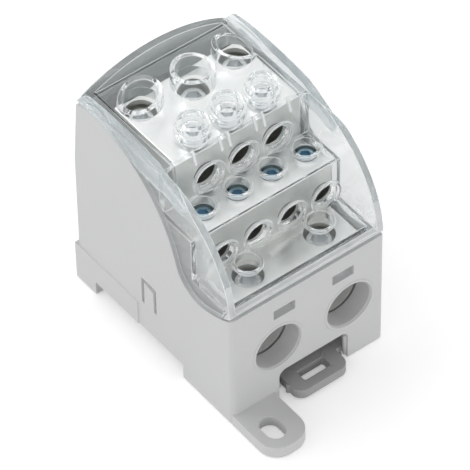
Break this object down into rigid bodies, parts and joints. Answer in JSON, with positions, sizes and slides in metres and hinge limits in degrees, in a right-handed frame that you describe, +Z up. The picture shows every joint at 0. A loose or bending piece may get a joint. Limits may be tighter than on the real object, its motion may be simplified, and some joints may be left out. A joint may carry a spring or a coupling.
{
  "type": "power distribution block",
  "caption": "Single-pole power distribution block with a grey housing, a clear stepped cover over a metal terminal block, screw clamps and a rail latch.",
  "frame": {"origin": "centre of the underside's bounding box", "axes": "+X along the front face to the right, +Y from the front face to the back, +Z up from the mounting plane"},
  "size_m": [0.0488, 0.097, 0.0724],
  "materials": {
    "grey_housing": "satin",
    "grey_latch": "satin",
    "clear_plastic": "polished",
    "tinned_metal": "satin",
    "screw_steel": "satin"
  },
  "bodies": {
    "base": {"base_housing": "grey_housing", "clear_cover": "clear_plastic", "terminal_block": "tinned_metal", "input_pressure_plate": "screw_steel", "block_fixing_screw_left": "screw_steel", "block_fixing_screw_right": "screw_steel"},
    "latch": {"rail_latch": "grey_latch"},
    "front_clamp_screw_left": {"front_clamp_screw_left": "screw_steel"},
    "front_clamp_screw_right": {"front_clamp_screw_right": "screw_steel"},
    "middle_clamp_screw_1": {"middle_clamp_screw_1": "screw_steel"},
    "middle_clamp_screw_2": {"middle_clamp_screw_2": "screw_steel"},
    "middle_clamp_screw_3": {"middle_clamp_screw_3": "screw_steel"},
    "middle_clamp_screw_4": {"middle_clamp_screw_4": "screw_steel"},
    "upper_clamp_screw_1": {"upper_clamp_screw_1": "screw_steel"},
    "upper_clamp_screw_2": {"upper_clamp_screw_2": "screw_steel"},
    "upper_clamp_screw_3": {"upper_clamp_screw_3": "screw_steel"},
    "input_clamp_screw_left": {"input_clamp_screw_left": "screw_steel"},
    "input_clamp_screw_middle": {"input_clamp_screw_middle": "screw_steel"},
    "input_clamp_screw_right": {"input_clamp_screw_right": "screw_steel"}
  },
  "joints": [
    {"name": "latch_pull", "type": "slide", "parent": "base", "child": "latch", "axis": [0, -1, 0], "range_m": [0, 0.004]},
    {"name": "front_screw_drive_left", "type": "slide", "parent": "base", "child": "front_clamp_screw_left", "axis": [0, 0, -1], "range_m": [0, 0.0065]},
    {"name": "front_screw_drive_right", "type": "slide", "parent": "base", "child": "front_clamp_screw_right", "axis": [0, 0, -1], "range_m": [0, 0.0065]},
    {"name": "middle_screw_drive_1", "type": "slide", "parent": "base", "child": "middle_clamp_screw_1", "axis": [0, 0, -1], "range_m": [0, 0.0045]},
    {"name": "middle_screw_drive_2", "type": "slide", "parent": "base", "child": "middle_clamp_screw_2", "axis": [0, 0, -1], "range_m": [0, 0.0045]},
    {"name": "middle_screw_drive_3", "type": "slide", "parent": "base", "child": "middle_clamp_screw_3", "axis": [0, 0, -1], "range_m": [0, 0.0045]},
    {"name": "middle_screw_drive_4", "type": "slide", "parent": "base", "child": "middle_clamp_screw_4", "axis": [0, 0, -1], "range_m": [0, 0.0045]},
    {"name": "upper_screw_drive_1", "type": "slide", "parent": "base", "child": "upper_clamp_screw_1", "axis": [0, 0, -1], "range_m": [0, 0.0055]},
    {"name": "upper_screw_drive_2", "type": "slide", "parent": "base", "child": "upper_clamp_screw_2", "axis": [0, 0, -1], "range_m": [0, 0.0055]},
    {"name": "upper_screw_drive_3", "type": "slide", "parent": "base", "child": "upper_clamp_screw_3", "axis": [0, 0, -1], "range_m": [0, 0.0055]},
    {"name": "input_screw_drive_left", "type": "slide", "parent": "base", "child": "input_clamp_screw_left", "axis": [0, 0, -1], "range_m": [0, 0.008]},
    {"name": "input_screw_drive_middle", "type": "slide", "parent": "base", "child": "input_clamp_screw_middle", "axis": [0, 0, -1], "range_m": [0, 0.008]},
    {"name": "input_screw_drive_right", "type": "slide", "parent": "base", "child": "input_clamp_screw_right", "axis": [0, 0, -1], "range_m": [0, 0.008]}
  ]
}
